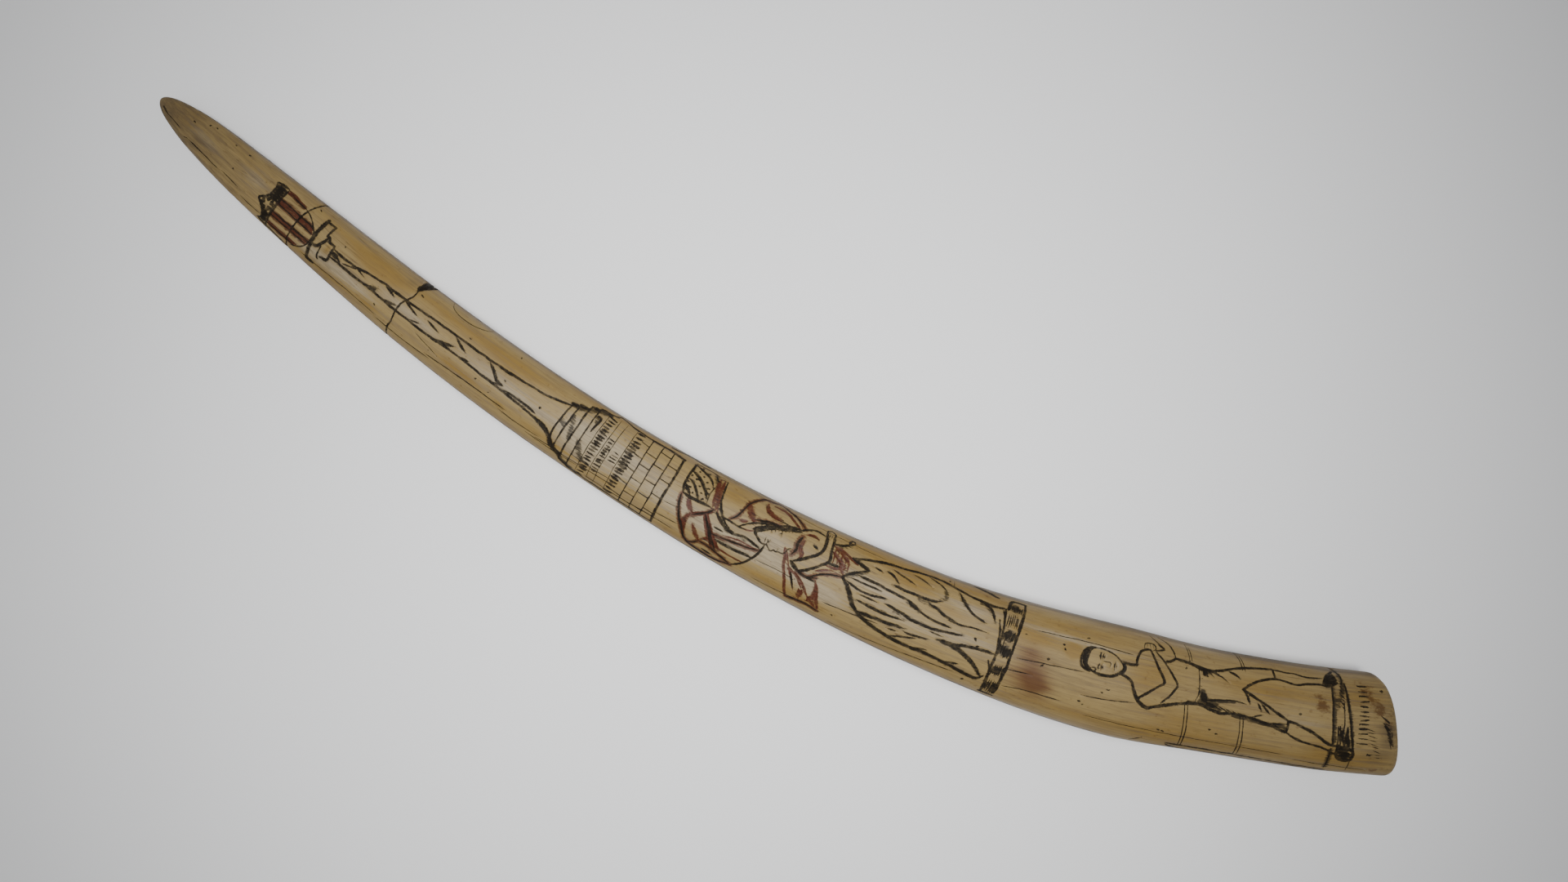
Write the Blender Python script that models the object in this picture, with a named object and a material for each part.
"""A walrus tusk for scrimshaw, lying on its broad side: one solid of ivory, sawn off at the base.

Metres, +Z up. +X runs along the chord from the tip to the base, the bend's outer side faces -Y,
and the underside touches z = 0 along a narrow worn strip.
"""

import math
from bisect import bisect_right

import bmesh
import bpy

# Driving dimensions, in metres and degrees
LENGTH = 0.6168  # along the centreline, from the tip to the middle of the sawn end
WIDTH = 0.0480  # across the broad faces where they are widest
THICKNESS = 0.0336  # from broad face to broad face at the same place
NOSE = 0.0280  # length of the rounded tip, under which the belly lifts off the ground
RESTING_FLAT = 0.00025  # how deep the underside is worn flat
OUTER_RIM = 0.0035  # rounding of the sawn end's rim on the outer side of the bend
INNER_RIM = 0.0045  # the same on the inner side
SAW_ANGLE = 8.0  # the cut leans this far from square, and leaves the outer side longer
STRAIGHT_END = 0.0150  # the last stretch, with the rim and the cut, doesn't bend

# Proportions of the free form, as shares of the length and of the widest width
HEADING = (  # share of the length, direction of the centreline in degrees, plus to the inner side
    (0.00, -14.2),
    (0.10, -12.9),
    (0.20, -11.6),
    (0.30, -8.8),
    (0.40, -5.4),
    (0.50, -1.7),
    (0.60, 2.0),
    (0.70, 7.1),
    (0.80, 13.2),
    (0.88, 17.2),
    (0.94, 19.2),
    (1.00, 24.0),
)
BREADTH = (  # share of the length, share of the widest width
    (0.000, 0.000),
    (0.008, 0.185),
    (0.021, 0.285),
    (0.038, 0.367),
    (0.074, 0.450),
    (0.150, 0.545),
    (0.260, 0.632),
    (0.410, 0.692),
    (0.520, 0.765),
    (0.670, 0.877),
    (0.805, 1.000),
    (0.870, 0.945),
    (0.920, 0.930),
    (0.960, 0.930),
    (1.000, 0.920),
)
SECTION_POWER = 2.3  # 2 is an ellipse, more is fuller towards a rectangle
FLUTES = (  # place around, from 0 at the top to 1 at the bottom, plus on the inner side; half width; depth
    (-0.43, 0.075, 0.008),
    (0.42, 0.063, 0.006),
    (-0.71, 0.125, 0.016),
    (0.69, 0.108, 0.012),
)

# How finely the form is faceted
AROUND = 60
ALONG = 52
RIM_STEPS = 4
ARC_SAMPLES = 360
PATH_STEPS = 620
LEAN_FROM = 0.8  # from this share of the length on, the rings lean towards the saw cut

IVORY = (0.42, 0.34, 0.22, 1.0)
IVORY_ROUGHNESS = 0.42


def smooth(stations, at):
    """The value at a place between stations, on a curve that runs through them without kinks."""
    places = [place for place, _ in stations]
    last = len(stations) - 2
    index = min(max(bisect_right(places, at) - 1, 0), last)

    def slope(of):
        before, after = max(of - 1, 0), min(of + 1, len(stations) - 1)
        rise = stations[after][1] - stations[before][1]
        return rise / (stations[after][0] - stations[before][0])

    (x0, y0), (x1, y1) = stations[index], stations[index + 1]
    gap = x1 - x0
    t = (at - x0) / gap
    return (
        (1 + 2 * t) * (1 - t) ** 2 * y0
        + t * (1 - t) ** 2 * gap * slope(index)
        + t * t * (3 - 2 * t) * y1
        + t * t * (t - 1) * gap * slope(index + 1)
    )


ROOT_BREADTH = [(math.sqrt(place), share) for place, share in BREADTH]


def half_width(along):
    """Half the broad width at a distance along the centreline. Square roots keep the nose round."""
    share = smooth(ROOT_BREADTH, math.sqrt(max(along, 0.0) / LENGTH))
    return 0.5 * WIDTH * max(share, 0.0)


def centreline():
    """Points and headings of the centreline at equal steps, turned so that its chord lies on +X."""
    step = LENGTH / PATH_STEPS
    headings = [math.radians(smooth(HEADING, i / PATH_STEPS)) for i in range(PATH_STEPS + 1)]
    points = [(0.0, 0.0)]
    for one, two in zip(headings, headings[1:]):
        x, y = points[-1]
        middle = 0.5 * (one + two)
        points.append((x + step * math.cos(middle), y + step * math.sin(middle)))
    turn = -math.atan2(points[-1][1], points[-1][0])
    cos, sin = math.cos(turn), math.sin(turn)
    turned = [(x * cos - y * sin, x * sin + y * cos) for x, y in points]
    return turned, [heading + turn for heading in headings]


def section_table():
    """A quarter of the section for a half width of 1, from the top to the side, by arc length."""
    half_height = THICKNESS / WIDTH
    points = []
    for i in range(ARC_SAMPLES + 1):
        angle = 0.5 * math.pi * i / ARC_SAMPLES
        across, up = math.sin(angle), math.cos(angle)
        radius = (across**SECTION_POWER + (up / half_height) ** SECTION_POWER) ** (-1 / SECTION_POWER)
        points.append((radius * across, radius * up))
    lengths = [0.0]
    for one, two in zip(points, points[1:]):
        lengths.append(lengths[-1] + math.dist(one, two))
    return points, lengths


PATH, HEADINGS = centreline()
QUARTER, QUARTER_LENGTHS = section_table()
QUARTER_ARC = QUARTER_LENGTHS[-1]


def section(around):
    """The section's (across, up) for a half width of 1. around goes from -1 through 0, the top, to 1."""
    share = abs(around) * 2
    from_pole = (share if share <= 1 else 2 - share) * QUARTER_ARC
    index = min(bisect_right(QUARTER_LENGTHS, from_pole) - 1, ARC_SAMPLES - 1)
    start, end = QUARTER_LENGTHS[index], QUARTER_LENGTHS[index + 1]
    t = (from_pole - start) / (end - start)
    across = QUARTER[index][0] * (1 - t) + QUARTER[index + 1][0] * t
    up = QUARTER[index][1] * (1 - t) + QUARTER[index + 1][1] * t
    return math.copysign(across, around), up if share <= 1 else -up


def fluted(along, around):
    """The section's (across, up) in metres, with the growth hollows that run along the tusk."""
    half = half_width(along)
    across, up = section(around)
    across, up = across * half, up * half
    radius = math.hypot(across, up)
    hollow = 0.0
    for place, spread, depth in FLUTES:
        away = (around - place) * 2 * QUARTER_ARC * half / (spread * WIDTH)
        hollow += depth * WIDTH * math.exp(-away * away)
    hollow *= min(half / (0.5 * WIDTH), 1.0)
    keep = 1 - hollow / radius if radius > hollow else 1.0
    return across * keep, up * keep


def placed(along, across, up):
    """The point in space of a place along the centreline, across it and above its middle plane."""
    bent = min(max(along, 0.0), LENGTH - STRAIGHT_END)
    index = int(bent / LENGTH * PATH_STEPS)
    t = bent / LENGTH * PATH_STEPS - index
    x = PATH[index][0] * (1 - t) + PATH[index + 1][0] * t
    y = PATH[index][1] * (1 - t) + PATH[index + 1][1] * t
    heading = HEADINGS[index] * (1 - t) + HEADINGS[index + 1] * t
    beyond = along - bent
    x += beyond * math.cos(heading) - across * math.sin(heading)
    y += beyond * math.sin(heading) + across * math.cos(heading)
    belly = half_width(min(max(along, NOSE), LENGTH)) * THICKNESS / WIDTH
    return x, y, max(up + belly - RESTING_FLAT, 0.0)


def ring_places():
    """Distances of the side's rings along the tusk: closer together where the nose is round."""
    shares = [i / ALONG for i in range(1, ALONG)]
    return [(LENGTH - INNER_RIM) * (0.35 * share**2 + 0.65 * share**1.25) for share in shares]


def side_ring(along, lean):
    """One ring of points around the tusk. lean turns it from square, at 0, to the saw cut's angle, at 1."""
    points = []
    for j in range(AROUND):
        around = -1 + 2 * j / AROUND
        across, up = fluted(along, around)
        shift = -across * math.tan(math.radians(SAW_ANGLE)) * lean
        points.append(placed(along + shift, across, up))
    return points


def rim_rounding(across, half):
    """The rim's radius, from the outer side's small one to the inner side's larger one."""
    share = 0.5 * (1 + across / half)
    return OUTER_RIM + (INNER_RIM - OUTER_RIM) * share * share


def rim_ring(turn):
    """A ring of the rounded rim. turn goes from 0 at its start on the side to 90 degrees on the cut."""
    points = []
    half = half_width(LENGTH)
    tilt = math.tan(math.radians(SAW_ANGLE))
    for j in range(AROUND):
        across, up = fluted(LENGTH, -1 + 2 * j / AROUND)
        rounding = rim_rounding(across, half)
        inset = rounding * (1 - math.cos(turn)) / math.hypot(across, up)
        across, up = across * (1 - inset), up * (1 - inset)
        along = LENGTH - across * tilt - rounding * (1 - math.sin(turn))
        points.append(placed(along, across, up))
    return points


def tusk_rings():
    """All rings from the nose to the flat of the sawn end."""
    rings = []
    for along in ring_places():
        lean = max(0.0, (along / LENGTH - LEAN_FROM) / (1 - LEAN_FROM))
        rings.append(side_ring(along, lean))
    for k in range(RIM_STEPS + 1):
        rings.append(rim_ring(0.5 * math.pi * k / RIM_STEPS))
    return rings


def tusk_mesh():
    mesh = bmesh.new()
    rings = tusk_rings()
    tip = placed(0.0, 0.0, 0.0)
    corners = [point for ring in rings for point in ring] + [tip]
    middle_x = 0.5 * (min(p[0] for p in corners) + max(p[0] for p in corners))
    middle_y = 0.5 * (min(p[1] for p in corners) + max(p[1] for p in corners))

    def vertex(point):
        return mesh.verts.new((point[0] - middle_x, point[1] - middle_y, point[2]))

    loops = [[vertex(point) for point in ring] for ring in rings]
    pole = vertex(tip)
    for j in range(AROUND):
        after = (j + 1) % AROUND
        mesh.faces.new((pole, loops[0][j], loops[0][after]))
        for one, two in zip(loops, loops[1:]):
            mesh.faces.new((one[j], two[j], two[after], one[after]))
    sawn_end = mesh.faces.new(loops[-1])
    bmesh.ops.recalc_face_normals(mesh, faces=mesh.faces)
    sawn_end.smooth = False
    return mesh


def ivory():
    material = bpy.data.materials.new("ivory")
    material.use_nodes = True
    shader = material.node_tree.nodes["Principled BSDF"]
    shader.inputs["Base Color"].default_value = IVORY
    shader.inputs["Roughness"].default_value = IVORY_ROUGHNESS
    shader.inputs["Metallic"].default_value = 0.0
    return material


def build():
    for thing in list(bpy.data.objects):
        bpy.data.objects.remove(thing)
    mesh = tusk_mesh()
    data = bpy.data.meshes.new("tusk")
    mesh.to_mesh(data)
    mesh.free()
    data.materials.append(ivory())
    data.shade_smooth()
    data.set_sharp_from_angle(angle=math.radians(35))
    tusk = bpy.data.objects.new("tusk", data)
    bpy.context.scene.collection.objects.link(tusk)


build()
